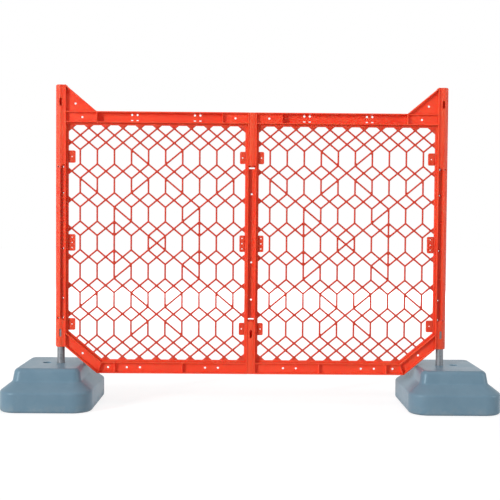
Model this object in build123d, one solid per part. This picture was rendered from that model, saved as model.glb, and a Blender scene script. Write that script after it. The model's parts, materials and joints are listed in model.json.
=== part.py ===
from build123d import *
import math
import os

os.makedirs("parts", exist_ok=True)

# Free-standing barrier fence: a moulded mesh panel on two loose steel poles in two ballast bases.
# X runs along the fence, -Y is the front, +Z is up, and the origin is on the ground in the middle.
# All sizes are in millimetres.

# Overall panel
panel_width = 1800          # over the outer edges of the end posts
rail_height = 1200          # underside of the bottom rail to the top of the top rail
post_rise = 120             # the end posts stand this much higher than the rails, at both ends
panel_depth = 50            # front to back of posts, lips and rails

# Channel members: outer lip, web, inner lip, then the rim that belongs to the mesh
outer_lip = 5
inner_lip = 4.5
channel_web = 42            # clear height of the channel between its lips
mesh_rim = 11
web_thickness = 5
web_setback = 6             # middle of the deep webs, behind the middle of the panel
shallow_recess = 15         # shallow webs behind the front of the panel
rib_thickness = 4

# End posts, measured inwards from the outer edge of the panel
sleeve_axis = 25            # pole axis from the outer edge
sleeve_wall = 3.5
post_lip_start = 45         # outer face of the inner lip

# Centre post
centre_bore = 28
centre_lip_start = 16       # from the middle of the fence
centre_overlap = 1          # how far the sleeve runs into the lips

# Grooves in the posts, closed by sleeves above and below: shares of the window height, those of
# holes and ribs counted from its middle
groove_share = 0.664
end_drain_shares = (0.212, -0.025, -0.238)
end_rib_shares = (0.094, -0.147)
centre_drain_shares = (0.212, -0.08, -0.24)
centre_rib_shares = (0.094, 0, -0.147)
stop_wall = 6               # closes the bore at each end of the groove
shut_off_height = 8         # see-through slots beside each stop wall
shut_off_width = 8
shut_off_spread = 19        # between the two slots of an end post
centre_shut_off_width = 26
drain_hole = 9
sleeve_slot_width = 11
sleeve_slot_height = 37
lower_slot_height = 65      # middle of the lower slots above the lower end of an end post
upper_slot_depth = 78       # middle of the upper slots below the top of an end post

# Mesh
mesh_columns = 10
mesh_rows = 7
mesh_margin = 12.75         # edge nodes from the window edge
strut_width = 8
mesh_thickness = 8
mesh_advance = 3            # middle of the mesh and its lugs, in front of the middle of the panel
smallest_opening = 60       # square millimetres, anything smaller is moulded shut
flow_columns = {1: (2,), 2: (1, 4), 3: (1,)}    # rows from the middle, then columns from the middle
barred_column = 2           # its middle diamonds have a bar through them, counted from both sides

# Holes and ribs of the rails: places are shares of the half width, from the middle
bolt_hole = 10
gusset_hole_share = 0.3     # of both short sides of a gusset, from its square corner
sign_hole_shares = (0.279, 0.599)           # middle of each group of four
sign_hole_spacing = 25
sign_slot_height = 5
top_hole_shares = (0.086, 0.864)
top_rib_shares = (0.151, 0.79)              # the gussets reach out to the outer ribs
bottom_hole_shares = (0.167, 0.233, 0.567, 0.634, 0.73)
bottom_rib_shares = (0.35, 0.695)

# Tie lugs
end_lug_width = 30
centre_lug_width = 24
lug_height = 56
long_lug_height = 76
lug_thickness = 10
lug_corner = 6
lug_hole = 6
lug_hole_spacing = 24
lug_gap = 5                 # lowest lug of an end post to the brace and to the strut above it

# Poles
pole_diameter = 34
pole_wall = 2.3
sleeve_clearance = 0.5      # radial, pole in sleeve
socket_clearance = 1        # radial, pole in base

# Ballast bases
base_width = 410            # along the fence
base_depth = 512
base_corner = 84            # plan radius of the lower tier
crown_corner = 36           # plan radius of the upper tier
foot_height = 89            # upright wall of the lower tier
shoulder_height = 40
shoulder_inset_along = 52   # narrowing of the shoulder along the fence
shoulder_inset_across = 62
crown_height = 57
crown_draft = 9             # inset of the crown over its height
brace_clearance = 10.3      # between the braces and the rounded top edge of the bases
base_wall = 5
socket_offset = 31.5        # inner socket from the middle of the base, towards the panel
socket_spacing = 64
socket_floor = 12
socket_wall = 4
socket_mouth = 4            # rounding at the mouth of each socket
foot_round = 12
edge_round = 14
crease_round = 16
crown_round = 22
ballast_gap = 0.3
ballast_headroom = 20       # empty space over the ballast

# Filler plug, sunk into the back of each base
plug_diameter = 40
plug_flange = 52
plug_flange_thickness = 4
plug_reach = 12             # shank behind the wall of its pocket
plug_height = 46            # above the ground
plug_clearance = 0.3
plug_grip = 8               # width of the grip bar
plug_grip_height = 5
pocket_room = 3             # radial, round the flange

# Mesh pitch: the struts lean at the same angle as the braces and the gussets
half_panel = panel_width / 2
half_depth = panel_depth / 2
member_width = outer_lip + channel_web + inner_lip
post_face = half_panel - post_lip_start - inner_lip
centre_face = centre_lip_start + inner_lip
window_outer = post_face - mesh_rim
window_inner = centre_face + mesh_rim
window_height = rail_height - 2 * (member_width + mesh_rim)
pitch = (window_outer - window_inner - 2 * mesh_margin) / mesh_columns
unit = (window_height - 2 * mesh_margin) / (4 * mesh_rows + 4)
slope = unit / (pitch / 2)
lean = math.atan(slope)

# Bases: the inner socket is in line with the sleeve of the end post
pole_x = half_panel - sleeve_axis
base_x = pole_x + socket_offset
base_height = foot_height + shoulder_height + crown_height
crown_inset_along = shoulder_inset_along + crown_draft
crown_inset_across = shoulder_inset_across + crown_draft
socket_radius = pole_diameter / 2 + socket_clearance
pocket_depth = plug_flange_thickness + plug_grip_height
pocket_radius = plug_flange / 2 + pocket_room

# Height of the panel: its braces pass over the top edges of the bases
round_x = base_x - base_width / 2 + crown_inset_along + crown_round
round_z = base_height - crown_round
brace_z = round_z + (crown_round + brace_clearance) / math.cos(lean)
post_bottom = brace_z + (post_face - round_x) * slope
rail_bottom = post_bottom - post_rise
rail_top = rail_bottom + rail_height
post_top = rail_top + post_rise
window_bottom = rail_bottom + member_width + mesh_rim
window_top = window_bottom + window_height
window_middle = (window_bottom + window_top) / 2
groove_bottom = window_middle - groove_share * window_height / 2
groove_top = window_middle + groove_share * window_height / 2
groove_span = (groove_bottom + stop_wall, groove_top - stop_wall)

# Sections of posts and poles
web_front = web_setback - web_thickness / 2
web_back = web_front + web_thickness
shallow_front = shallow_recess - half_depth
shallow_back = shallow_front + web_thickness
bore_radius = pole_diameter / 2 + sleeve_clearance
sleeve_radius = bore_radius + sleeve_wall
centre_bore_radius = centre_bore / 2
centre_sleeve_radius = centre_lip_start + centre_overlap
pole_top = groove_bottom
fuzz = 0.01                 # how far off an edge may be and still count as level


# Front-view helpers: points are (x, z) pairs

def plate(points, front, thickness, openings=()):
    """Upright plate with a polygon outline, its front face at y = front."""
    outline = Wire.make_polygon([(x, front, z) for x, z in points])
    holes = [Wire.make_polygon([(x, front, z) for x, z in ring]) for ring in openings]
    return extrude(Face(outline, holes), amount=thickness, dir=(0, 1, 0))


def block(x_range, y_range, z_range):
    """Box between three pairs of limits."""
    sizes = [high - low for low, high in (x_range, y_range, z_range)]
    middles = [(high + low) / 2 for low, high in (x_range, y_range, z_range)]
    return Pos(*middles) * Box(*sizes)


def cross_hole(x, z, diameter):
    """Round bar from front to back, for cutting a hole."""
    return Pos(x, 0, z) * Rot(90, 0, 0) * Cylinder(diameter / 2, 2 * panel_depth)


def between(start, end, share):
    """Point at a share of the way from start to end."""
    return tuple(a + (b - a) * share for a, b in zip(start, end))


def along(shares):
    """Places along the right half of the fence."""
    return [share * half_panel for share in shares]


def upright(shares):
    """Heights in the window, from shares counted from its middle."""
    return [window_middle + share * window_height for share in shares]


def left_of(shape):
    """The same piece on the left half of the fence."""
    return mirror(shape, about=Plane.YZ)


# Posts

def post_holes(x, shares):
    """Drain holes through a groove."""
    return [cross_hole(x, z, drain_hole) for z in upright(shares)]


def sleeve_slot(x, z):
    """Upright oblong window in the front wall of a sleeve."""
    outline = Plane.XZ * Pos(x, z) * Rot(0, 0, 90) * SlotOverall(sleeve_slot_height, sleeve_slot_width)
    return extrude(outline, amount=half_depth)


def bore_discs(x, radius, rib_shares):
    """Stop walls at both ends of the groove and thin ribs across it."""
    stops = [groove_bottom + stop_wall / 2, groove_top - stop_wall / 2]
    discs = [Pos(x, 0, z) * Cylinder(radius, stop_wall) for z in stops]
    discs += [Pos(x, 0, z) * Cylinder(radius, rib_thickness) for z in upright(rib_shares)]
    return discs


def shut_off_slots(places, width):
    """See-through slots next to the stop walls, where the two mould halves met."""
    low, high = groove_span
    levels = [(low, low + shut_off_height), (high - shut_off_height, high)]
    return [
        block((x - width / 2, x + width / 2), (-panel_depth, panel_depth), level)
        for x in places
        for level in levels
    ]


def end_post():
    """Right end post, from the outer edge inwards: flange, sleeve, shallow groove and inner lip."""
    height = post_top - post_bottom
    middle = (post_top + post_bottom) / 2
    span = (post_bottom, post_top)
    flange = block((post_face, half_panel), (web_front, web_back), span)
    lip = block((post_face, post_face + inner_lip), (-half_depth, half_depth), span)
    post = Pos(pole_x, 0, middle) * Cylinder(sleeve_radius, height) + flange + lip
    post -= Pos(pole_x, 0, middle) * Cylinder(bore_radius, height)
    groove_side = half_panel - post_lip_start
    post -= block((groove_side, pole_x), (-half_depth, 0), groove_span)
    post += block((groove_side, pole_x + bore_radius), (shallow_front, shallow_back), groove_span)
    post += bore_discs(pole_x, bore_radius, end_rib_shares)
    slot_places = [pole_x - shut_off_spread / 2, pole_x + shut_off_spread / 2]
    post -= shut_off_slots(slot_places, shut_off_width)
    hole_x = (groove_side + pole_x) / 2
    post -= post_holes(hole_x, end_drain_shares)
    post -= sleeve_slot(pole_x, post_bottom + lower_slot_height)
    post -= sleeve_slot(pole_x, post_top - upper_slot_depth)
    return post


def middle_post():
    """Centre post: a narrow sleeve between two lips, with a shallow groove in its front."""
    height = rail_top - rail_bottom
    middle = (rail_top + rail_bottom) / 2
    post = Pos(0, 0, middle) * Cylinder(centre_sleeve_radius, height)
    for side in (-1, 1):
        near, far = sorted((side * centre_lip_start, side * centre_face))
        post += block((near, far), (-half_depth, half_depth), (rail_bottom, rail_top))
    web_reach = (-centre_lip_start, centre_lip_start)
    post += block(web_reach, (web_front, web_back), (rail_bottom, rail_top))
    post -= Pos(0, 0, middle) * Cylinder(centre_bore_radius, height)
    post -= block(web_reach, (-half_depth, 0), groove_span)
    post += block(web_reach, (shallow_front, shallow_back), groove_span)
    post += bore_discs(0, centre_bore_radius, centre_rib_shares)
    post -= shut_off_slots([0], centre_shut_off_width)
    post -= post_holes(0, centre_drain_shares)
    post -= sleeve_slot(0, post_bottom + lower_slot_height)
    return post


# Channel rails, braces and gussets

def strip(outer, inner, near, far):
    """Outline of the band between two distances from the outer edge of a member."""
    shares = (near / member_width, far / member_width)
    first, second = [[between(a, b, share) for a, b in zip(outer, inner)] for share in shares]
    return first + second[::-1]


def lips(outer, inner):
    """Front-to-back lips along both edges of a four-cornered outline."""
    outer_side = strip(outer, inner, 0, outer_lip)
    inner_side = strip(outer, inner, member_width - inner_lip, member_width)
    return plate(outer_side, -half_depth, panel_depth) + plate(inner_side, -half_depth, panel_depth)


def shallow_channel(outer, inner):
    """Lips with a shallow web between them."""
    web = strip(outer, inner, outer_lip, member_width - inner_lip)
    return lips(outer, inner) + plate(web, shallow_front, web_thickness)


def rail_ribs(places, z_span, back):
    """Upright ribs across a channel, from its front to its web."""
    half = rib_thickness / 2
    return [block((x - half, x + half), (-half_depth, back), z_span) for x in places]


def top_rail():
    """Right half of the top rail: deep between its ribs, shallow at both ends, with sign holes."""
    inner_z = rail_top - member_width
    outer_edge = [(centre_face, rail_top), (post_face, rail_top)]
    inner_edge = [(centre_face, inner_z), (post_face, inner_z)]
    web_span = (inner_z + inner_lip, rail_top - outer_lip)
    near_rib, far_rib = along(top_rib_shares)
    rail = lips(outer_edge, inner_edge)
    rail += block((centre_face, near_rib), (shallow_front, shallow_back), web_span)
    rail += block((near_rib, far_rib), (web_front, web_back), web_span)
    rail += block((far_rib, post_face), (shallow_front, shallow_back), web_span)
    rail += rail_ribs([near_rib, far_rib], web_span, web_back)
    web_middle = sum(web_span) / 2
    cuts = [cross_hole(x, web_middle, bolt_hole) for x in along(top_hole_shares)]
    for place in along(sign_hole_shares):
        for x in (place - sign_hole_spacing / 2, place + sign_hole_spacing / 2):
            cuts.append(cross_hole(x, web_middle + sign_hole_spacing / 2, bolt_hole))
            low = web_middle - (sign_hole_spacing + sign_slot_height) / 2
            sides = (x - bolt_hole / 2, x + bolt_hole / 2)
            cuts.append(block(sides, (-panel_depth, panel_depth), (low, low + sign_slot_height)))
    return rail - cuts


def brace_corners():
    """Outer and inner edge of the right brace, from its lower end on the rail to the post."""
    run = post_rise / slope
    inner_rise = member_width / math.cos(lean)
    foot = (post_face - run, rail_bottom)
    mitre = (post_face - run - member_width * math.tan(lean / 2), rail_bottom + member_width)
    return [foot, (post_face, post_bottom)], [mitre, (post_face, post_bottom + inner_rise)]


def bottom_rail():
    """Right half of the bottom rail, with a rib along its mitre to the brace."""
    outer, inner = brace_corners()
    (foot_x, foot_z), (mitre_x, mitre_z) = outer[0], inner[0]
    rail = shallow_channel([(centre_face, foot_z), outer[0]], [(centre_face, mitre_z), inner[0]])
    web_span = (rail_bottom + outer_lip, mitre_z - inner_lip)
    rail += rail_ribs(along(bottom_rib_shares), web_span, shallow_back)
    rib_foot, rib_head = (foot_x - rib_thickness, foot_z), (mitre_x - rib_thickness, mitre_z)
    mitre_rib = [rib_foot, outer[0], inner[0], rib_head]
    rail += plate(mitre_rib, -half_depth, shallow_recess + web_thickness)
    return rail - [cross_hole(x, sum(web_span) / 2, bolt_hole) for x in along(bottom_hole_shares)]


def brace():
    """Right brace with one bolt hole in the middle of its web."""
    outer, inner = brace_corners()
    ends = [between(a, b, 0.5) for a, b in zip(outer, inner)]
    return shallow_channel(outer, inner) - cross_hole(*between(*ends, 0.5), bolt_hole)


def gusset():
    """Right gusset: a triangular web with a lip along its slanted edge."""
    run = post_face - along(top_rib_shares)[1]
    gusset_height = run * slope
    corner = (post_face, rail_top)
    tip = (post_face - run, rail_top)
    head = (post_face, rail_top + gusset_height)
    lip_tip = (tip[0] + outer_lip / math.sin(lean), rail_top)
    lip_head = (post_face, head[1] - outer_lip / math.cos(lean))
    shape = plate([tip, corner, head], shallow_front, web_thickness)
    shape += plate([tip, lip_tip, lip_head, head], -half_depth, panel_depth)
    hole = (post_face - gusset_hole_share * run, rail_top + gusset_hole_share * gusset_height)
    return shape - cross_hole(*hole, bolt_hole)


# Mesh fields

def node(column, level):
    """Lattice point: half columns have the fraction .5, levels count down from the top edge."""
    x = window_inner + mesh_margin + (column + 0.5) * pitch
    return x, window_top - mesh_margin - level * unit


def diamond(column, level, upright=False):
    """Diamond around a lattice point, cut in two by a bar where one runs through it."""
    top, bottom = node(column, level - 1), node(column, level + 1)
    left, right = node(column - 0.5, level), node(column + 0.5, level)
    if upright:
        return [[top, left, bottom], [bottom, right, top]]
    return [[top, left, bottom, right]]


def hexagon(column, row, falling=False, rising=False):
    """Opening between two bars, parted by flow struts that fall or rise to the right."""
    level = 4 * row + 4
    top, bottom = node(column + 0.5, level - 2), node(column + 0.5, level + 2)
    high_left, low_left = node(column, level - 1), node(column, level + 1)
    high_right, low_right = node(column + 1, level - 1), node(column + 1, level + 1)
    centre = node(column + 0.5, level)
    if falling and rising:
        return [
            [high_left, centre, high_right, top],
            [high_left, low_left, centre],
            [low_left, bottom, low_right, centre],
            [centre, low_right, high_right],
        ]
    if falling:
        return [[high_left, low_right, high_right, top], [high_left, low_left, bottom, low_right]]
    if rising:
        return [[high_left, low_left, high_right, top], [low_left, bottom, low_right, high_right]]
    return [[high_left, low_left, bottom, low_right, high_right, top]]


def flow_struts(column, row):
    """Flow struts spread from the middle of the field, the same in all four quarters."""
    rows_out = row - mesh_rows // 2
    columns_out = column - (mesh_columns // 2 - 1)
    if rows_out == 0 and columns_out == 0:
        return True, True
    if abs(columns_out) not in flow_columns.get(abs(rows_out), ()):
        return False, False
    turned_back = abs(rows_out) == 2 and abs(columns_out) == 1
    falling = (rows_out * columns_out > 0) != turned_back
    return falling, not falling


def inset_ring(ring, gap):
    """Convex ring with every side moved inwards by gap."""
    count = len(ring)
    area = sum(ring[i - 1][0] * ring[i][1] - ring[i][0] * ring[i - 1][1] for i in range(count))
    turn = 1 if area > 0 else -1
    sides = []
    for i in range(count):
        (x0, z0), (x1, z1) = ring[i - 1], ring[i]
        length = math.hypot(x1 - x0, z1 - z0)
        normal = (-turn * (z1 - z0) / length, turn * (x1 - x0) / length)
        sides.append((*normal, normal[0] * x0 + normal[1] * z0 + gap))
    corners = []
    for i in range(count):
        (a0, b0, c0), (a1, b1, c1) = sides[i], sides[(i + 1) % count]
        det = a0 * b1 - a1 * b0
        corners.append(((c0 * b1 - c1 * b0) / det, (a0 * c1 - a1 * c0) / det))
    return corners


def clip_ring(ring, window):
    """The part of a ring inside a convex window whose corners run anticlockwise."""
    for i in range(len(window)):
        (x0, z0), (x1, z1) = window[i - 1], window[i]
        inside = [(x1 - x0) * (z - z0) - (z1 - z0) * (x - x0) for x, z in ring]
        kept = []
        for j in range(len(ring)):
            if inside[j - 1] * inside[j] < 0:
                share = inside[j - 1] / (inside[j - 1] - inside[j])
                kept.append(between(ring[j - 1], ring[j], share))
            if inside[j] >= 0:
                kept.append(ring[j])
        ring = kept
    return ring


def ring_area(ring):
    """Area of a ring of points."""
    crosses = [ring[i - 1][0] * ring[i][1] - ring[i][0] * ring[i - 1][1] for i in range(len(ring))]
    return abs(sum(crosses)) / 2


def window_corners(rim):
    """Window outline, rim wider than the opening, with its lower outer corner cut by the brace."""
    edge = member_width + mesh_rim - rim
    cut = edge / math.cos(lean) + post_bottom
    outer_x = window_outer + rim
    low_z = window_bottom - rim
    return [
        (window_inner - rim, low_z),
        (post_face - (cut - low_z) / slope, low_z),
        (outer_x, cut - (post_face - outer_x) * slope),
        (outer_x, window_top + rim),
        (window_inner - rim, window_top + rim),
    ]


def mesh_cells():
    """Every opening of the lattice, before its sides are moved in for the struts."""
    cells = []
    last_level = 4 * mesh_rows + 4
    for row in range(mesh_rows):
        for column in range(-1, mesh_columns):
            cells += hexagon(column, row, *flow_struts(column, row))
    for column in range(mesh_columns):
        for row in range(1, mesh_rows):
            beside_middle = row in (mesh_rows // 2, mesh_rows // 2 + 1)
            barred = column in (barred_column, mesh_columns - 1 - barred_column)
            cells += diamond(column, 4 * row + 2, beside_middle and barred)
        for level in (0, 2, last_level - 2, last_level):
            cells += diamond(column, level)
    for column in range(-1, mesh_columns):
        for level in (1, last_level - 1):
            cells += diamond(column + 0.5, level)
    return cells


def mesh_field():
    """Right mesh field: a plate with a rim, opened by every cell of the lattice."""
    window = window_corners(0)
    openings = [clip_ring(inset_ring(cell, strut_width / 2), window) for cell in mesh_cells()]
    openings = [ring for ring in openings if len(ring) > 2 and ring_area(ring) > smallest_opening]
    return plate(window_corners(mesh_rim), -mesh_advance - mesh_thickness / 2, mesh_thickness, openings)


# Tie lugs

def lug(root_x, reach, z_middle, height, holes):
    """Flat lug that stands off the rim into the window by reach, with a column of holes."""
    outline = Rectangle(abs(reach), height)
    free_corners = outline.vertices().group_by(Axis.X)[-1 if reach > 0 else 0]
    outline = fillet(free_corners, lug_corner)
    for i in range(holes):
        outline -= Pos(0, (i - (holes - 1) / 2) * lug_hole_spacing) * Circle(lug_hole / 2)
    place = Plane.XZ.offset(mesh_advance) * Pos(root_x + reach / 2, z_middle)
    return extrude(place * outline, amount=lug_thickness / 2, both=True)


def lug_row(root_x, reach, low_z, low_height):
    """Three lugs down one side of a post."""
    upper_z = node(0, 4)[1]
    return [
        lug(root_x, reach, upper_z, lug_height, 1),
        lug(root_x, reach, window_middle, long_lug_height, 3),
        lug(root_x, reach, low_z, low_height, 1),
    ]


def end_lugs():
    """Lugs of the right end post, the lowest one between the brace and the strut above it."""
    low = window_corners(0)[2][1] + lug_gap
    edge_reach = mesh_margin * slope + strut_width / 2 / math.cos(lean)
    ends = [node(0, 4 * row + 2)[1] - edge_reach - lug_gap for row in range(mesh_rows + 1)]
    high = min(end for end in ends if end > low + lug_hole_spacing)
    return lug_row(window_outer, -end_lug_width, (low + high) / 2, high - low)


def centre_lugs():
    """Lugs on the right side of the centre post."""
    return lug_row(window_inner, centre_lug_width, node(0, 4 * mesh_rows)[1], lug_height)


# Poles and bases

def pole():
    """Right pole: a plain length of steel tube from the socket floor to the stop in the sleeve."""
    length = pole_top - socket_floor
    tube = Cylinder(pole_diameter / 2, length) - Cylinder(pole_diameter / 2 - pole_wall, length)
    return Pos(pole_x, 0, socket_floor + length / 2) * tube


def base_section(inset_along, inset_across, corner, z):
    """Rounded rectangle of the base at one height."""
    outline = RectangleRounded(base_width - 2 * inset_along, base_depth - 2 * inset_across, corner)
    return Pos(base_x, 0, z) * outline


def base_tiers(skin):
    """Two-tier body of a base: foot, sloping shoulder and crown, skin inside the outer surface."""
    foot = extrude(base_section(skin, skin, base_corner - skin, skin), amount=foot_height - skin)
    foot_top = base_section(skin, skin, base_corner - skin, foot_height)
    corner = crown_corner - skin
    shoulder_top = foot_height + shoulder_height
    crown_foot = base_section(shoulder_inset_along + skin, shoulder_inset_across + skin, corner, shoulder_top)
    crown_top = base_section(crown_inset_along + skin, crown_inset_across + skin, corner, base_height - skin)
    shoulder = loft([foot_top, crown_foot], ruled=True)
    crown = loft([crown_foot, crown_top], ruled=True)
    return foot + shoulder + crown


def level_edges(shape, z):
    """Edges of a shape that lie flat at one height."""
    flat = [edge for edge in shape.edges() if edge.bounding_box().size.Z < fuzz]
    return [edge for edge in flat if abs(edge.center().Z - z) < fuzz]


def base_form(skin):
    """Body of a base, skin inside the outer surface, with its tiers rounded as a blow moulding is."""
    body = base_tiers(skin)
    rounds = [
        (base_height - skin, crown_round - skin),
        (foot_height + shoulder_height, crease_round + skin),
        (foot_height, edge_round - skin),
        (skin, foot_round - skin),
    ]
    for z, radius in rounds:
        body = fillet(level_edges(body, z), radius)
    return body


def socket_places():
    """Middle of both sockets of the right base: the inner one holds the pole."""
    return [(pole_x, 0), (pole_x + socket_spacing, 0)]


def socket_bars(radius, low, high):
    """One upright bar in each socket."""
    return [Pos(x, y, (low + high) / 2) * Cylinder(radius, high - low) for x, y in socket_places()]


def plug_bar(radius, near, far):
    """Round bar on the plug axis, from near to far inside the back face of the foot."""
    bar = Pos(0, 0, -(near + far) / 2) * Cylinder(radius, far - near)
    return Pos(base_x, base_depth / 2, plug_height) * Rot(-90, 0, 0) * bar


def is_mouth(edge):
    """True for the round edge of a socket in the top of the base."""
    return abs(edge.radius - socket_radius) < fuzz and abs(edge.center().Z - base_height) < fuzz


def base():
    """Right base: a hollow skin, two blind sockets that stand on its floor, and a sunk filling hole."""
    wells = socket_bars(socket_radius + socket_wall, base_wall, base_height - base_wall)
    pocket_wall = plug_bar(pocket_radius + base_wall, 0, pocket_depth + base_wall)
    shell = base_form(0) - (base_form(base_wall) - wells - pocket_wall)
    shell -= socket_bars(socket_radius, socket_floor, base_height)
    mouths = [edge for edge in shell.edges().filter_by(GeomType.CIRCLE) if is_mouth(edge)]
    shell = fillet(mouths, socket_mouth)
    shell -= plug_bar(pocket_radius, 0, pocket_depth)
    return shell - plug_bar(plug_diameter / 2 + plug_clearance, 0, pocket_depth + base_wall)


def ballast():
    """Right ballast: fills the skin up to the headroom and stands clear of the plug."""
    fill = base_form(base_wall + ballast_gap)
    fill -= socket_bars(socket_radius + socket_wall + ballast_gap, 0, base_height)
    top = base_height - base_wall - ballast_headroom
    fill -= Pos(base_x, 0, top + base_height / 2) * Box(base_width, base_depth, base_height)
    plug_end = pocket_depth + base_wall + plug_reach
    return fill - plug_bar(pocket_radius + base_wall + ballast_gap, 0, plug_end + ballast_gap)


def filler_plug():
    """Right filler plug: a round flange in the pocket, a shank through its wall and a grip bar."""
    floor = pocket_depth
    flange_top = floor - plug_flange_thickness
    plug = plug_bar(plug_diameter / 2, flange_top, floor + base_wall + plug_reach)
    plug += plug_bar(plug_flange / 2, flange_top, floor)
    grip_y = base_depth / 2 - plug_grip_height / 2
    return plug + Pos(base_x, grip_y, plug_height) * Box(plug_diameter, plug_grip_height, plug_grip)


# One file per piece

def write(name, shape):
    """Write one piece, or a group of like pieces, to its own file."""
    solids = shape if isinstance(shape, list) else [shape]
    solids = [solid for item in solids for solid in item.solids()]
    export_step(Compound(children=solids) if len(solids) > 1 else solids[0], f"parts/{name}.step")


pairs = {
    "{}_post": end_post(),
    "top_rail_{}": top_rail(),
    "bottom_rail_{}": bottom_rail(),
    "{}_brace": brace(),
    "{}_gusset": gusset(),
    "{}_mesh": mesh_field(),
    "{}_post_lugs": end_lugs(),
    "centre_{}_lugs": centre_lugs(),
    "{}_pole": pole(),
    "{}_base": base(),
    "{}_ballast": ballast(),
    "{}_filler_plug": filler_plug(),
}

write("centre_post", middle_post())
for name, shape in pairs.items():
    pieces = shape if isinstance(shape, list) else [shape]
    write(name.format("right"), pieces)
    write(name.format("left"), [left_of(piece) for piece in pieces])
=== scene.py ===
import json
import math

import bmesh
import bpy
from mathutils import Euler, Matrix, Vector
from mathutils.bvhtree import BVHTree


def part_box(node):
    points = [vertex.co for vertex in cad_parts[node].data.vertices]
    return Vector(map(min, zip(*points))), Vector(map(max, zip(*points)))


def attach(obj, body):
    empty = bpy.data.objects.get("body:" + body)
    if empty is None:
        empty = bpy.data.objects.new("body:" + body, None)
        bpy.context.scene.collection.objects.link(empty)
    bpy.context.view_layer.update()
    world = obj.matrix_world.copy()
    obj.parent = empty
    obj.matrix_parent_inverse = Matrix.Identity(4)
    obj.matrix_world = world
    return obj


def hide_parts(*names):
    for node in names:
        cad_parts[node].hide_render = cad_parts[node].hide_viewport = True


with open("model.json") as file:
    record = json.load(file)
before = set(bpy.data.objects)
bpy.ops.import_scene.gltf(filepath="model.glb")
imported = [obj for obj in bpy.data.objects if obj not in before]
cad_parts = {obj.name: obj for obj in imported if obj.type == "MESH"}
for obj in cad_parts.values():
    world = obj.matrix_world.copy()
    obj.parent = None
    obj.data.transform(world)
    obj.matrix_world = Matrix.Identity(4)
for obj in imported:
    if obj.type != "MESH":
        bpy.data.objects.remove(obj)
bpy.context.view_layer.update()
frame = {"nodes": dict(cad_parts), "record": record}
scene = bpy.context.scene
sides = ("left", "right")
print("frame loaded:", len(frame["nodes"]), "nodes")


# helpers for node trees

def addNode(tree, kind, sockets=None, **settings):
    made = tree.nodes.new(kind)
    for name, value in settings.items():
        setattr(made, name, value)
    for socket, value in (sockets or {}).items():
        target = made.inputs[socket]
        if isinstance(value, bpy.types.NodeSocket):
            tree.links.new(value, target)
        else:
            target.default_value = value
    return made


def addGroup(name, kind, inputs, outputs):
    tree = bpy.data.node_groups.new(name, kind)
    for label, socketType, start in inputs:
        socket = tree.interface.new_socket(label, in_out="INPUT", socket_type=socketType)
        if start is not None:
            socket.default_value = start
    for label, socketType in outputs:
        tree.interface.new_socket(label, in_out="OUTPUT", socket_type=socketType)
    return tree, tree.nodes.new("NodeGroupInput"), tree.nodes.new("NodeGroupOutput")


def calc(tree, operation, first, second=0.0):
    return addNode(tree, "ShaderNodeMath", {0: first, 1: second}, operation=operation).outputs[0]


def ramp(tree, value, low, high, toLow=0.0, toHigh=1.0):
    sockets = {"Value": value, "From Min": low, "From Max": high, "To Min": toLow, "To Max": toHigh}
    return addNode(tree, "ShaderNodeMapRange", sockets, interpolation_type="SMOOTHSTEP").outputs[0]


def mixColour(tree, factor, first, second):
    sockets = {0: factor, 6: first, 7: second}
    return addNode(tree, "ShaderNodeMix", sockets, data_type="RGBA").outputs[2]


def noise(tree, vector, scale, detail=2.0, rough=0.5):
    sockets = {"Vector": vector, "Scale": scale, "Detail": detail, "Roughness": rough}
    return addNode(tree, "ShaderNodeTexNoise", sockets).outputs[0]


# surface effects that several materials share

skinLook = {"grainDetail": 3.0, "mottleDetail": 4.0, "mottleRough": 0.6, "patchDetail": 1.0,
            "drawTurn": (0.3, 0.5, 0.2), "drawStretch": (1.0, 1.0, 7.0), "scratchDetail": 5.0,
            "scratchRough": 0.7, "scratchBand": (0.6, 0.72), "patchBand": (0.5, 0.68)}


def buildMouldedSkin():
    inputs = [("Grain Scale", "NodeSocketFloat", 900.0), ("Mottle Scale", "NodeSocketFloat", 5.0),
              ("Scuff Scale", "NodeSocketFloat", 60.0)]
    outputs = [("Grain", "NodeSocketFloat"), ("Mottle", "NodeSocketFloat"), ("Scuffs", "NodeSocketFloat")]
    tree, given, result = addGroup("mouldedSkin", "ShaderNodeTree", inputs, outputs)
    grainScale, mottleScale, scuffScale = [given.outputs[label] for label, *_ in inputs]
    place = addNode(tree, "ShaderNodeTexCoord").outputs["Object"]
    grain = noise(tree, place, grainScale, skinLook["grainDetail"])
    mottle = noise(tree, place, mottleScale, skinLook["mottleDetail"], skinLook["mottleRough"])
    drawn = addNode(tree, "ShaderNodeMapping", {
        "Vector": place, "Rotation": skinLook["drawTurn"], "Scale": skinLook["drawStretch"]}).outputs[0]
    scratch = noise(tree, drawn, scuffScale, skinLook["scratchDetail"], skinLook["scratchRough"])
    scratch = ramp(tree, scratch, *skinLook["scratchBand"])
    patch = noise(tree, place, mottleScale, skinLook["patchDetail"])
    scuffs = calc(tree, "MULTIPLY", scratch, ramp(tree, patch, *skinLook["patchBand"]))
    tree.links.new(grain, result.inputs["Grain"])
    tree.links.new(mottle, result.inputs["Mottle"])
    tree.links.new(scuffs, result.inputs["Scuffs"])
    return tree


dustLook = {"breakDetail": 4.0, "breakBand": (0.35, 0.7)}


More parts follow.
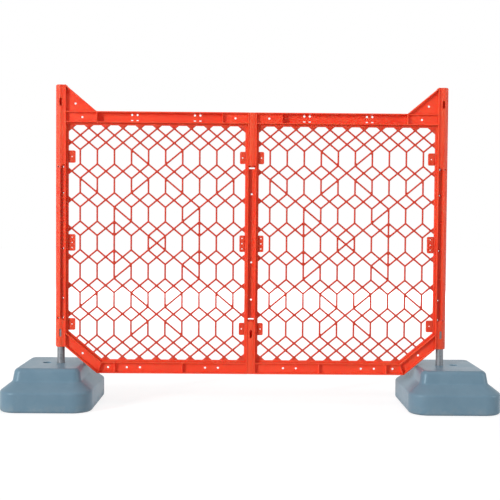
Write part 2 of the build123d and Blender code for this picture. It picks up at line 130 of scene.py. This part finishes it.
def buildGroundDust():
    inputs = [("Reach", "NodeSocketFloat", 0.06), ("Break Scale", "NodeSocketFloat", 40.0)]
    tree, given, result = addGroup("groundDust", "ShaderNodeTree", inputs, [("Dust", "NodeSocketFloat")])
    place = addNode(tree, "ShaderNodeTexCoord").outputs["Object"]
    height = addNode(tree, "ShaderNodeSeparateXYZ", {0: place}).outputs["Z"]
    near = ramp(tree, calc(tree, "DIVIDE", height, given.outputs["Reach"]), 1.0, 0.0)
    broken = noise(tree, place, given.outputs["Break Scale"], dustLook["breakDetail"])
    broken = ramp(tree, broken, *dustLook["breakBand"])
    tree.links.new(calc(tree, "MULTIPLY", near, broken), result.inputs["Dust"])
    return tree


skinGroup = buildMouldedSkin()
dustGroup = buildGroundDust()


# materials, one dictionary each

mottleBand = {"colour": (0.35, 0.65), "rough": (0.3, 0.7)}


def startMaterial(name):
    material = bpy.data.materials.new(name)
    material.use_nodes = True
    tree = material.node_tree
    return material, tree, tree.nodes["Principled BSDF"]


def useSkin(tree, look):
    scales = {"Grain Scale": look["grainScale"], "Mottle Scale": look["mottleScale"],
              "Scuff Scale": look["scuffScale"]}
    return addNode(tree, "ShaderNodeGroup", scales, node_tree=skinGroup).outputs


def mottled(tree, skin, first, second):
    return mixColour(tree, ramp(tree, skin["Mottle"], *mottleBand["colour"]), first, second)


def roughness(tree, value, look, band=mottleBand["rough"]):
    return ramp(tree, value, *band, look["roughLow"], look["roughHigh"])


def addBump(tree, shader, height, look):
    sockets = {"Height": height, "Distance": look["bumpDepth"], "Strength": look["bumpStrength"]}
    bump = addNode(tree, "ShaderNodeBump", sockets)
    tree.links.new(bump.outputs[0], shader.inputs["Normal"])


orange = {
    "body": (0.77, 0.074, 0.029, 1), "thin": (0.81, 0.091, 0.035, 1), "scuff": (0.92, 0.19, 0.12, 1),
    # the deeper red below and the lugs' share of it are painted shade, not the plastic's own colour
    "bars": (0.57, 0.056, 0.026, 1), "lugShadeShare": 0.35, "scuffShare": 0.35,
    "grainScale": 1100.0, "mottleScale": 3.0, "scuffScale": 55.0,
    "roughLow": 0.38, "roughHigh": 0.52, "gloss": 0.2, "bumpDepth": 0.00012, "bumpStrength": 0.25,
    "glow": 0.85, "glowReach": (0.007, 0.0012, 0.0006),
}


def orangePlastic():
    material, tree, shader = startMaterial("orangePlastic")
    skin = useSkin(tree, orange)
    colour = mottled(tree, skin, orange["body"], orange["thin"])
    # the thin bars and the tie lugs get painted shade, a deeper red that stands in for the shading of the
    # bars' sides and the posts' shadow on the lugs; pieces without the attribute read zero
    bars = addNode(tree, "ShaderNodeAttribute", attribute_name="paintedShadeShare").outputs["Fac"]
    colour = mixColour(tree, bars, colour, orange["bars"])
    scuffed = calc(tree, "MULTIPLY", skin["Scuffs"], orange["scuffShare"])
    tree.links.new(mixColour(tree, scuffed, colour, orange["scuff"]), shader.inputs["Base Color"])
    tree.links.new(roughness(tree, skin["Mottle"], orange), shader.inputs["Roughness"])
    shader.inputs["Specular IOR Level"].default_value = orange["gloss"]
    shader.inputs["Subsurface Weight"].default_value = orange["glow"]
    shader.inputs["Subsurface Radius"].default_value = orange["glowReach"]
    shader.inputs["Subsurface Scale"].default_value = 1.0  # the reach is in metres
    addBump(tree, shader, skin["Grain"], orange)
    return material


grey = {
    "body": (0.126, 0.211, 0.276, 1), "pale": (0.144, 0.231, 0.297, 1), "scuff": (0.30, 0.37, 0.42, 1),
    "dust": (0.33, 0.33, 0.31, 1), "scuffShare": 0.3, "dustShare": 0.25, "dustRough": 0.3,
    "grainScale": 600.0, "mottleScale": 7.0, "scuffScale": 40.0, "dustReach": 0.05, "dustScale": 45.0,
    "roughLow": 0.3, "roughHigh": 0.4, "gloss": 0.26, "glossTint": (0.72, 0.9, 1.0, 1),
    "bumpDepth": 0.0002, "bumpStrength": 0.25,
}


def greyPlastic():
    material, tree, shader = startMaterial("greyPlastic")
    skin = useSkin(tree, grey)
    reach = {"Reach": grey["dustReach"], "Break Scale": grey["dustScale"]}
    dust = addNode(tree, "ShaderNodeGroup", reach, node_tree=dustGroup).outputs["Dust"]
    colour = mottled(tree, skin, grey["body"], grey["pale"])
    scuffed = calc(tree, "MULTIPLY", skin["Scuffs"], grey["scuffShare"])
    colour = mixColour(tree, scuffed, colour, grey["scuff"])
    dusty = calc(tree, "MULTIPLY", dust, grey["dustShare"])
    tree.links.new(mixColour(tree, dusty, colour, grey["dust"]), shader.inputs["Base Color"])
    added = calc(tree, "MULTIPLY", dust, grey["dustRough"])
    rough = calc(tree, "ADD", roughness(tree, skin["Mottle"], grey), added)
    tree.links.new(rough, shader.inputs["Roughness"])
    shader.inputs["Specular IOR Level"].default_value = grey["gloss"]
    shader.inputs["Specular Tint"].default_value = grey["glossTint"]
    addBump(tree, shader, skin["Grain"], grey)
    return material


zinc = {
    "dark": (0.15, 0.16, 0.175, 1), "light": (0.286, 0.3, 0.318, 1), "metal": 0.5,
    "spangleScale": 120.0, "spangleShare": 0.6, "cloudShare": 0.4,
    "cloudScale": 30.0, "cloudDetail": 4.0, "cloudRough": 0.6,
    "roughBand": (0.1, 0.9), "roughLow": 0.42, "roughHigh": 0.62, "bumpDepth": 0.0003, "bumpStrength": 0.2,
}


def galvanisedSteel():
    material, tree, shader = startMaterial("galvanisedSteel")
    place = addNode(tree, "ShaderNodeTexCoord").outputs["Object"]
    cells = addNode(tree, "ShaderNodeTexVoronoi", {"Vector": place, "Scale": zinc["spangleScale"]})
    tint = addNode(tree, "ShaderNodeSeparateColor", {0: cells.outputs["Color"]}).outputs[0]
    cloud = noise(tree, place, zinc["cloudScale"], zinc["cloudDetail"], zinc["cloudRough"])
    fromCells = calc(tree, "MULTIPLY", tint, zinc["spangleShare"])
    spangle = calc(tree, "ADD", fromCells, calc(tree, "MULTIPLY", cloud, zinc["cloudShare"]))
    tree.links.new(mixColour(tree, spangle, zinc["dark"], zinc["light"]), shader.inputs["Base Color"])
    tree.links.new(roughness(tree, spangle, zinc, zinc["roughBand"]), shader.inputs["Roughness"])
    shader.inputs["Metallic"].default_value = zinc["metal"]
    addBump(tree, shader, cloud, zinc)
    return material


black = {
    "body": (0.012, 0.012, 0.013, 1), "worn": (0.04, 0.04, 0.042, 1),
    "grainScale": 1400.0, "mottleScale": 40.0, "scuffScale": 160.0,
    "roughLow": 0.35, "roughHigh": 0.55, "bumpDepth": 0.0001, "bumpStrength": 0.3,
}


def blackPlastic():
    material, tree, shader = startMaterial("blackPlastic")
    skin = useSkin(tree, black)
    colour = mixColour(tree, skin["Mottle"], black["body"], black["worn"])
    tree.links.new(colour, shader.inputs["Base Color"])
    tree.links.new(roughness(tree, skin["Mottle"], black), shader.inputs["Roughness"])
    addBump(tree, shader, skin["Grain"], black)
    return material


sand = {
    "dark": (0.25, 0.22, 0.17, 1), "light": (0.45, 0.41, 0.33, 1),
    "grainScale": 700.0, "mottleScale": 30.0, "scuffScale": 90.0,
    "roughLow": 0.8, "roughHigh": 0.95, "bumpDepth": 0.001, "bumpStrength": 0.6,
}


def ballastSand():
    material, tree, shader = startMaterial("ballastSand")
    skin = useSkin(tree, sand)
    colour = mixColour(tree, skin["Grain"], sand["dark"], sand["light"])
    tree.links.new(colour, shader.inputs["Base Color"])
    tree.links.new(roughness(tree, skin["Mottle"], sand), shader.inputs["Roughness"])
    addBump(tree, shader, skin["Grain"], sand)
    return material


finishes = {"panel_orange": orangePlastic(), "base_grey": greyPlastic(), "galvanised": galvanisedSteel(),
            "plug_black": blackPlastic(), "ballast": ballastSand()}
print("materials built:", len(finishes))


# pieces that keep the shape of their CAD node, with rounded edges

edgeFinish = {"width": 0.0009, "steps": 2, "sharpAngle": math.radians(30), "seamGap": 0.00005,
              "mergeGap": 0.00002, "flatAngle": math.radians(0.5), "curveAngle": math.radians(1),
              "stripAngle": math.radians(50), "sliver": 0.00003, "stripSlot": 1,
              "roomShares": (0.2, 0.5, 0.8), "roomWidths": 2.2}


def mergedCopy(nodeName):
    shape = bmesh.new()
    shape.from_mesh(frame["nodes"][nodeName].data)
    bmesh.ops.remove_doubles(shape, verts=shape.verts, dist=edgeFinish["mergeGap"])
    return shape


def addPiece(pieceName, mesh, nodeName, body, slotName):
    piece = bpy.data.objects.new(pieceName, mesh)
    scene.collection.objects.link(piece)
    mesh.materials.clear()
    mesh.materials.append(finishes[slotName])
    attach(piece, body)
    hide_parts(nodeName)
    return piece


def isCurved(face):
    turns = [edge.calc_face_angle(0.0) for edge in face.edges]
    return any(edgeFinish["curveAngle"] < turn < edgeFinish["sharpAngle"] for turn in turns)


def onSeam(edge, neighbours):
    middle = (edge.verts[0].co + edge.verts[1].co) / 2
    return any(tree.find_nearest(middle, edgeFinish["seamGap"])[0] for tree in neighbours)


# an edge is only rounded where the faces on both sides are wide enough for the strip
def hasRoom(edge, surface, width):
    for loop in edge.link_loops:
        start, end = loop.vert.co, loop.link_loop_next.vert.co
        inward = loop.face.normal.cross(end - start).normalized()
        for share in edgeFinish["roomShares"]:
            spot = start.lerp(end, share) + inward * width * edgeFinish["roomWidths"]
            if surface.find_nearest(spot, edgeFinish["seamGap"])[0] is None:
                return False
    return True


def bakedMesh(carrier):
    scene.collection.objects.link(carrier)
    depsgraph = bpy.context.evaluated_depsgraph_get()
    mesh = bpy.data.meshes.new_from_object(carrier.evaluated_get(depsgraph), depsgraph=depsgraph)
    carrier.modifiers.clear()
    bpy.data.objects.remove(carrier)
    return mesh


def smoothNormal(vert, face, angle):
    total = Vector()
    for loop in vert.link_loops:
        if loop.face.normal.angle(face.normal, 0.0) < angle:
            total += loop.face.normal * loop.face.calc_area() * loop.calc_angle()
    return total.normalized() if total.length > 0 else face.normal.copy()


def dropSlivers(mesh):
    shape = bmesh.new()
    shape.from_mesh(mesh)
    bmesh.ops.triangulate(shape, faces=[face for face in shape.faces if len(face.verts) > 4])
    bmesh.ops.dissolve_degenerate(shape, dist=edgeFinish["sliver"], edges=shape.edges)
    shape.to_mesh(mesh)
    shape.free()


def facesBeside(face, loop):
    found = []
    for edge in (loop.edge, loop.link_loop_prev.edge):
        for other in edge.link_faces:
            near = other.normal.angle(face.normal, 0.0) < edgeFinish["stripAngle"]
            if other.material_index != edgeFinish["stripSlot"] and near:
                found.append(other)
    return found


# the flat faces keep their own normals and the narrow bevel strips blend between them
def cornerNormals(mesh):
    shape = bmesh.new()
    shape.from_mesh(mesh)
    curved = shape.faces.layers.int["curved"]
    normals = []
    for face in shape.faces:
        for loop in face.loops:
            parent = face
            if face.material_index == edgeFinish["stripSlot"]:
                beside = facesBeside(face, loop)
                parent = beside[0] if beside else None
            if parent is None:
                normals.append(smoothNormal(loop.vert, face, edgeFinish["stripAngle"]))
            elif parent[curved]:
                normals.append(smoothNormal(loop.vert, parent, edgeFinish["sharpAngle"]))
            else:
                normals.append(parent.normal.copy())
    shape.free()
    return normals


def roundedPiece(nodeName, pieceName, body, slotName, width, neighbours=(), shape=None):
    shape = shape or mergedCopy(nodeName)
    surface = BVHTree.FromBMesh(shape)
    bmesh.ops.dissolve_limit(shape, angle_limit=edgeFinish["flatAngle"],
                             verts=shape.verts, edges=shape.edges)
    weights = shape.edges.layers.float.new("bevel_weight_edge")
    curved = shape.faces.layers.int.new("curved")
    for face in shape.faces:
        face[curved] = isCurved(face)
        face.smooth = True
        face.material_index = 0
    for edge in shape.edges:
        flat = not any(face[curved] for face in edge.link_faces)
        sharp = edge.calc_face_angle_signed(0.0) > edgeFinish["sharpAngle"]
        free = flat and sharp and hasRoom(edge, surface, width) and not onSeam(edge, neighbours)
        edge[weights] = 1.0 if free else 0.0
    mesh = bpy.data.meshes.new(pieceName + "_sharp")
    shape.to_mesh(mesh)
    shape.free()
    carrier = bpy.data.objects.new(pieceName + "_sharp", mesh)
    for use in ("faces", "strips"):
        mesh.materials.append(finishes[slotName])
    bevel = carrier.modifiers.new("edgeRound", "BEVEL")
    bevel.limit_method = "WEIGHT"
    bevel.width = width
    bevel.segments = edgeFinish["steps"]
    bevel.use_clamp_overlap = False
    bevel.material = edgeFinish["stripSlot"]
    rounded = bakedMesh(carrier)
    rounded.name = pieceName
    dropSlivers(rounded)
    normals = cornerNormals(rounded)
    for face in rounded.polygons:
        face.material_index = 0
    for layer in ("curved", "bevel_weight_edge"):
        if layer in rounded.attributes:
            rounded.attributes.remove(rounded.attributes[layer])
    rounded.normals_split_custom_set(normals)
    return addPiece(pieceName, rounded, nodeName, body, slotName)


# sleeves of the posts: the moulding is filled up beside them, nearly flush with the lips

sleeve = {"middleFront": 0.0238, "middleSag": 0.002, "middleReach": 0.0168, "middleWall": 0.0155,
          "middleStop": 0.001, "endFront": 0.01955, "endStart": 0.0065, "endReach": 0.0208,
          "endWall": 0.0192, "endStop": 0.0005, "endTurnStop": 0.05, "endGap": 0.0003,
          "slotWide": 0.0112, "slotTall": 0.0372, "slotRise": 0.065, "slotFront": 0.03, "slotDeep": 0.02,
          "steps": 12}


def prism(outline, lift):
    shape = bmesh.new()
    near = [shape.verts.new(point) for point in outline]
    far = [shape.verts.new(Vector(point) + lift) for point in outline]
    shape.faces.new(near)
    shape.faces.new(far[::-1])
    for index in range(len(outline)):
        shape.faces.new((near[index - 1], near[index], far[index], far[index - 1]))
    bmesh.ops.recalc_face_normals(shape, faces=shape.faces)
    mesh = bpy.data.meshes.new("filler")
    shape.to_mesh(mesh)
    shape.free()
    return bpy.data.objects.new("filler", mesh)


def combined(carrier, other, operation):
    scene.collection.objects.link(other)
    step = carrier.modifiers.new("combine", "BOOLEAN")
    step.operation = operation
    step.object = other
    mesh = bakedMesh(carrier)
    bpy.data.objects.remove(other)
    return bpy.data.objects.new("filler", mesh)


# front line and wall line of the centre post's filler, seen from above
def middleOutline():
    steps, reach, wall = sleeve["steps"], sleeve["middleReach"], sleeve["middleWall"]
    places = [reach * (2 * index / steps - 1) for index in range(steps + 1)]
    front = [(x, sleeve["middleSag"] * (x / reach) ** 2 - sleeve["middleFront"]) for x in places]
    turns = [math.pi * (index + 0.5) / steps for index in range(steps)]
    back = [(wall * math.cos(turn), -wall * math.sin(turn)) for turn in turns]
    return front + [(reach, -sleeve["middleStop"])] + back + [(-reach, -sleeve["middleStop"])]


# the same on the inner side of an end post, from its axis inward
def endOutline(axis, inward):
    steps, start, wall = sleeve["steps"], sleeve["endStart"], sleeve["endWall"]
    first = math.asin(start / wall)
    sweep = math.pi / 2 - sleeve["endTurnStop"] - first
    turns = [first + sweep * index / steps for index in range(steps + 1)]
    back = [(wall * math.sin(turn), -wall * math.cos(turn)) for turn in reversed(turns)]
    front = [(start, -sleeve["endFront"]), (sleeve["endReach"], -sleeve["endFront"]),
             (sleeve["endReach"], -sleeve["endStop"])]
    return [(axis + inward * away, y) for away, y in front + back]


def slotCutter(place):
    half, run = sleeve["slotWide"] / 2, (sleeve["slotTall"] - sleeve["slotWide"]) / 2
    outline = []
    for end in (1, -1):
        for index in range(sleeve["steps"] + 1):
            turn = math.pi * index / sleeve["steps"]
            height = place + end * (run + half * math.sin(turn))
            outline.append((end * half * math.cos(turn), -sleeve["slotFront"], height))
    return prism(outline, Vector((0, sleeve["slotDeep"], 0)))


def filledPost(nodeName):
    low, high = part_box(nodeName)
    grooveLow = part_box("left_pole")[1][2]
    head = next(mount for mount in frame["record"]["mounts"] if mount["name"] == "left_post_head")
    halfHead = head["dims"]["length_mm"] / 2000  # half of it, in metres
    grooveHigh = head["pos_m"][2] - halfHead
    gap = sleeve["endGap"]
    if nodeName == "centre_post":
        outline = middleOutline()
    else:
        inward = 1 if nodeName == "left_post" else -1
        outline = endOutline(-inward * abs(head["pos_m"][0]), inward)
    shape = mergedCopy(nodeName)
    mesh = bpy.data.meshes.new("filler")
    shape.to_mesh(mesh)
    shape.free()
    post = bpy.data.objects.new("filler", mesh)
    for bottom, top in ((low[2] + gap, grooveLow - gap), (grooveHigh + gap, high[2] - gap)):
        filler = prism([(x, y, bottom) for x, y in outline], Vector((0, 0, top - bottom)))
        if nodeName == "centre_post" and bottom < grooveLow:
            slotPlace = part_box("left_post")[0][2] + sleeve["slotRise"]
            filler = combined(filler, slotCutter(slotPlace), "DIFFERENCE")
        post = combined(post, filler, "UNION")
    shape = bmesh.new()
    shape.from_mesh(post.data)
    bpy.data.objects.remove(post)
    bmesh.ops.remove_doubles(shape, verts=shape.verts, dist=edgeFinish["mergeGap"])
    return shape


panelMembers = ["centre_post"]
for side in sides:
    panelMembers += [f"{side}_post", f"top_rail_{side}", f"bottom_rail_{side}", f"{side}_brace",
                     f"{side}_gusset", f"{side}_post_lugs", f"centre_{side}_lugs"]


def buildPanel():
    surfaces = {}
    for nodeName in panelMembers + [f"{side}_mesh" for side in sides]:
        shape = mergedCopy(nodeName)
        surfaces[nodeName] = BVHTree.FromBMesh(shape)
        shape.free()
    for nodeName in panelMembers:
        others = [tree for name, tree in surfaces.items() if name != nodeName]
        shape = filledPost(nodeName) if nodeName.endswith("_post") else None
        piece = roundedPiece(nodeName, nodeName + "_moulding", "panel", "panel_orange",
                             edgeFinish["width"], others, shape)
        # the tie lugs get part of the painted shade, standing in for the shadow of the posts on them
        if nodeName.endswith("_lugs"):
            shares = [orange["lugShadeShare"]] * len(piece.data.vertices)
            piece.data.attributes.new("paintedShadeShare", "FLOAT", "POINT").data.foreach_set("value", shares)


buildPanel()
print("panel members built:", len(panelMembers))


# lattice fields: the openings are read off the CAD plate and given round corners and barrelled walls

lattice = {"cornerRadius": 0.003, "cornerSteps": 3, "wallBulge": 0.0022, "wallSteps": 7,
           "mergeGap": 0.00001, "rimEnd": 0.009, "rimFade": 0.012, "frontFacing": 0.9, "borderUses": 1.5}


def openingRings(nodeName):
    shape = mergedCopy(nodeName)
    front = [face for face in shape.faces if face.normal.y < -lattice["frontFacing"]]
    inFront = set(front)
    following = {}
    for face in front:  # in the order of the mesh, so that each run gives the same rings
        for loop in face.loops:
            if loop.link_loop_radial_next.face not in inFront:
                following[loop.vert] = loop.link_loop_next.vert
    rings = []
    while following:
        point, after = following.popitem()
        ring = [point.co.copy()]
        while after in following:
            ring.append(after.co.copy())
            after = following.pop(after)
        rings.append(ring)
    shape.free()
    return rings


def sinkRim(ring, depth):
    middleX = (min(p.x for p in ring) + max(p.x for p in ring)) / 2
    middleZ = (min(p.z for p in ring) + max(p.z for p in ring)) / 2
    for point in ring:
        point.x += math.copysign(depth, point.x - middleX)
        point.z += math.copysign(depth, point.z - middleZ)


def ringCurve(name, rings):
    curve = bpy.data.curves.new(name, "CURVE")
    curve.dimensions = "3D"
    for ring in rings:
        spline = curve.splines.new("POLY")
        spline.points.add(len(ring) - 1)
        spline.use_cyclic_u = True
        for target, point in zip(spline.points, ring):
            target.co = (point.x, point.z, 0.0, 1.0)
    return curve


def buildLatticeTree():
    inputs = [("Openings", "NodeSocketGeometry", None), ("Material", "NodeSocketMaterial", None),
              ("Corner Radius", "NodeSocketFloat", lattice["cornerRadius"]),
              ("Corner Steps", "NodeSocketInt", lattice["cornerSteps"]),
              ("Wall Bulge", "NodeSocketFloat", lattice["wallBulge"]),
              ("Wall Steps", "NodeSocketInt", lattice["wallSteps"]),
              ("Merge Gap", "NodeSocketFloat", lattice["mergeGap"]),
              ("Thickness", "NodeSocketFloat", None), ("Setback", "NodeSocketFloat", None)]
    outputs = [("Lattice", "NodeSocketGeometry")]
    tree, given, result = addGroup("latticeMoulding", "GeometryNodeTree", inputs, outputs)
    take = given.outputs
    half = calc(tree, "MULTIPLY", take["Thickness"], 0.5)
    fillet = addNode(tree, "GeometryNodeFilletCurve", {
        "Curve": take["Openings"], "Radius": take["Corner Radius"], "Count": take["Corner Steps"],
        "Limit Radius": True}, mode="POLY")
    # half an ellipse from the front face over the parting line to the back face
    arc = addNode(tree, "GeometryNodeCurveArc", {
        "Resolution": take["Wall Steps"], "Radius": 1.0,
        "Start Angle": -math.pi / 2, "Sweep Angle": math.pi})
    stretch = addNode(tree, "ShaderNodeCombineXYZ", {"X": take["Wall Bulge"], "Y": half, "Z": 1.0})
    back = addNode(tree, "ShaderNodeCombineXYZ", {"X": calc(tree, "MULTIPLY", take["Wall Bulge"], -1.0)})
    profile = addNode(tree, "GeometryNodeTransform", {
        "Geometry": arc.outputs[0], "Translation": back.outputs[0], "Scale": stretch.outputs[0]})
    walls = addNode(tree, "GeometryNodeCurveToMesh", {
        "Curve": fillet.outputs[0], "Profile Curve": profile.outputs[0]})
    faces = [walls.outputs[0]]
    place = addNode(tree, "GeometryNodeInputPosition").outputs[0]
    height = addNode(tree, "ShaderNodeSeparateXYZ", {0: place})
    uses = addNode(tree, "GeometryNodeInputMeshEdgeNeighbors").outputs[0]
    onEdge = calc(tree, "LESS_THAN", uses, lattice["borderUses"])
    for side in (1.0, -1.0):
        towards = calc(tree, "GREATER_THAN", calc(tree, "MULTIPLY", height.outputs["Z"], side), 0.0)
        picked = calc(tree, "MULTIPLY", onEdge, towards)
        outline = addNode(tree, "GeometryNodeMeshToCurve", {"Mesh": walls.outputs[0], "Selection": picked})
        fill = addNode(tree, "GeometryNodeFillCurve", {0: outline.outputs[0]})
        lift = addNode(tree, "ShaderNodeCombineXYZ", {"Z": calc(tree, "MULTIPLY", half, side)})
        placed = addNode(tree, "GeometryNodeTransform", {
            "Geometry": fill.outputs[0], "Translation": lift.outputs[0]})
        if side < 0:
            placed = addNode(tree, "GeometryNodeFlipFaces", {"Mesh": placed.outputs[0]})
        faces.append(placed.outputs[0])
    joined = addNode(tree, "GeometryNodeJoinGeometry")
    for part in faces:
        tree.links.new(part, joined.inputs[0])
    closed = addNode(tree, "GeometryNodeMergeByDistance", {
        "Geometry": joined.outputs[0], "Distance": take["Merge Gap"]})
    stand = addNode(tree, "ShaderNodeCombineXYZ", {"Y": take["Setback"]})
    upright = addNode(tree, "GeometryNodeTransform", {
        "Geometry": closed.outputs[0], "Translation": stand.outputs[0],
        "Rotation": (math.pi / 2, 0.0, 0.0)})
    smooth = addNode(tree, "GeometryNodeSetShadeSmooth", {"Geometry": upright.outputs[0]})
    real = addNode(tree, "GeometryNodeRealizeInstances", {"Geometry": smooth.outputs[0]})
    finish = addNode(tree, "GeometryNodeSetMaterial", {
        "Geometry": real.outputs[0], "Material": take["Material"]})
    tree.links.new(finish.outputs[0], result.inputs[0])
    return tree


def plainMesh(carrier, tree, values):
    modifier = carrier.modifiers.new(tree.name, "NODES")
    modifier.node_group = tree
    for item in tree.interface.items_tree:
        if item.in_out == "INPUT" and item.name in values:
            modifier[item.identifier] = values[item.name]
    return bakedMesh(carrier)


# share of painted shade on the lattice: zero on the rim that runs along the rails and posts, one on the
# bars
def paintShadeOnBars(mesh, rim):
    ends = [Vector((point.x, point.z)) for point in rim]
    shares = []
    for vertex in mesh.vertices:
        spot = Vector((vertex.co.x, vertex.co.z))
        gap = math.inf
        for start, end in zip(ends, ends[1:] + ends[:1]):
            along = end - start
            share = min(max((spot - start).dot(along) / along.length_squared, 0.0), 1.0)
            gap = min(gap, (start + along * share - spot).length)
        shares.append(min(max((gap - lattice["rimEnd"]) / lattice["rimFade"], 0.0), 1.0))
    mesh.attributes.new("paintedShadeShare", "FLOAT", "POINT").data.foreach_set("value", shares)


def buildLattices():
    tree = buildLatticeTree()
    for side in sides:
        nodeName = f"{side}_mesh"
        low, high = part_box(nodeName)
        rings = openingRings(nodeName)
        rim = max(rings, key=lambda ring: max(p.x for p in ring) - min(p.x for p in ring))
        sinkRim(rim, lattice["wallBulge"])
        carrier = bpy.data.objects.new(nodeName + "_rings", ringCurve(nodeName + "_rings", rings))
        mesh = plainMesh(carrier, tree, {
            "Corner Radius": lattice["cornerRadius"], "Corner Steps": lattice["cornerSteps"],
            "Wall Bulge": lattice["wallBulge"], "Wall Steps": lattice["wallSteps"],
            "Thickness": high.y - low.y, "Setback": (low.y + high.y) / 2,
            "Merge Gap": lattice["mergeGap"], "Material": finishes["panel_orange"]})
        paintShadeOnBars(mesh, rim)
        addPiece(nodeName + "_lattice", mesh, nodeName, "panel", "panel_orange")
        print("lattice", side, "openings:", len(rings) - 1, "faces:", len(mesh.polygons))


buildLattices()


# poles, bases and plugs

footing = {"poleEdge": 0.0004, "baseEdge": 0.0006, "plugEdge": 0.0006,
           "flangeDepth": 0.009, "seatGap": 0.00003}


# a hair of air under the plug's flange, so that it never cuts into its seat
def liftFlange(plug, side):
    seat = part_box(f"{side}_filler_plug")[1].y - footing["flangeDepth"]
    for vert in plug.data.vertices:
        if abs(vert.co.y - seat) < edgeFinish["mergeGap"]:
            vert.co.y += footing["seatGap"]


def buildFooting():
    for side in sides:
        roundedPiece(f"{side}_pole", f"{side}_pole_tube", f"{side}_pole", "galvanised", footing["poleEdge"])
        roundedPiece(f"{side}_base", f"{side}_base_shell", f"{side}_base", "base_grey", footing["baseEdge"])
        plug = roundedPiece(f"{side}_filler_plug", f"{side}_plug_cap", f"{side}_plug", "plug_black",
                            footing["plugEdge"])
        liftFlange(plug, side)
        ballast = frame["nodes"][f"{side}_ballast"]
        ballast.data.materials.clear()
        ballast.data.materials.append(finishes["ballast"])


buildFooting()
print("poles, bases and plugs built")


# studio: white surround, pale floor, a tall strip light on the left, weaker soft ones around

studio = {"fillStrength": 0.31, "floorSize": 40.0, "floorDrop": 0.0003, "floorGlow": 0.77, "farGlow": 0.95,
          "glowBand": (1.5, 7.0), "floorGrey": 0.3, "bounceGrey": 0.75, "aim": (0.0, 0.0, 0.75)}
lamps = {
    "keyLight": {"place": (-11.3, -10.3, 4.8), "wide": 1.25, "tall": 6.0, "power": 2030.0},
    "sideLight": {"place": (6.0, -1.9, 1.8), "wide": 2.0, "tall": 3.0, "power": 110.0},
    "topLight": {"place": (0.0, -0.6, 4.5), "wide": 4.0, "tall": 2.5, "power": 42.0},
    "backLight": {"place": (0.0, 7.0, 1.7), "wide": 5.0, "tall": 2.6, "power": 400.0, "mirrored": False},
}


def seenDirectly(tree):
    path = addNode(tree, "ShaderNodeLightPath").outputs
    direct = calc(tree, "MAXIMUM", path["Is Camera Ray"], path["Is Glossy Ray"])
    return calc(tree, "MAXIMUM", direct, path["Is Transmission Ray"])


def greyTone(level):
    return (level, level, level, 1)


def buildWorld():
    world = bpy.data.worlds.new("studioWorld")
    world.use_nodes = True
    tree = world.node_tree
    strength = ramp(tree, seenDirectly(tree), 0.0, 1.0, studio["fillStrength"], 1.0)
    background = tree.nodes["Background"]
    background.inputs["Color"].default_value = greyTone(1)
    tree.links.new(strength, background.inputs["Strength"])
    scene.world = world


def buildFloor():
    shape = bmesh.new()
    bmesh.ops.create_grid(shape, x_segments=1, y_segments=1, size=studio["floorSize"] / 2)
    bmesh.ops.translate(shape, verts=shape.verts, vec=(0, 0, -studio["floorDrop"]))
    mesh = bpy.data.meshes.new("studioFloor")
    shape.to_mesh(mesh)
    shape.free()
    material, tree, shader = startMaterial("paleFloor")
    tree.nodes.remove(shader)
    bounce = addNode(tree, "ShaderNodeBsdfDiffuse", {"Color": greyTone(studio["bounceGrey"])})
    shadow = addNode(tree, "ShaderNodeBsdfDiffuse", {"Color": greyTone(studio["floorGrey"])})
    place = addNode(tree, "ShaderNodeTexCoord").outputs["Object"]
    away = addNode(tree, "ShaderNodeVectorMath", {0: place}, operation="LENGTH").outputs["Value"]
    strength = ramp(tree, away, *studio["glowBand"], studio["floorGlow"], studio["farGlow"])
    glow = addNode(tree, "ShaderNodeEmission", {"Strength": strength})
    shown = addNode(tree, "ShaderNodeAddShader", {0: shadow.outputs[0], 1: glow.outputs[0]})
    both = addNode(tree, "ShaderNodeMixShader", {
        0: seenDirectly(tree), 1: bounce.outputs[0], 2: shown.outputs[0]})
    tree.links.new(both.outputs[0], tree.nodes["Material Output"].inputs["Surface"])
    mesh.materials.append(material)
    floor = bpy.data.objects.new("studioFloor", mesh)
    scene.collection.objects.link(floor)


def addLamps():
    for name, setting in lamps.items():
        light = bpy.data.lights.new(name, "AREA")
        light.shape = "RECTANGLE"
        light.size = setting["wide"]
        light.size_y = setting["tall"]
        light.energy = setting["power"]
        lamp = bpy.data.objects.new(name, light)
        lamp.location = setting["place"]
        lamp.visible_glossy = setting.get("mirrored", True)
        towards = Vector(studio["aim"]) - lamp.location
        lamp.rotation_euler = towards.to_track_quat("-Z", "Y").to_euler()
        scene.collection.objects.link(lamp)


view = {"place": (-0.0398, -4.376, 0.8591), "yaw": 0.44, "pitch": -1.918, "roll": 0.447,
        "focalPixels": 950, "imagePixels": 500, "sensor": 36.0}


def addCamera():
    data = bpy.data.cameras.new("photoCamera")
    data.sensor_width = view["sensor"]
    data.lens = view["sensor"] * view["focalPixels"] / view["imagePixels"]
    turn = Euler((math.pi / 2 + math.radians(view["pitch"]), 0, -math.radians(view["yaw"]))).to_matrix()
    turn = turn @ Matrix.Rotation(math.radians(view["roll"]), 3, "Z")
    camera = bpy.data.objects.new("photoCamera", data)
    camera.matrix_world = Matrix.Translation(view["place"]) @ turn.to_4x4()
    scene.collection.objects.link(camera)
    scene.camera = camera


buildWorld()
buildFloor()
addLamps()
addCamera()
scene.view_settings.view_transform = "Standard"
print("studio ready")
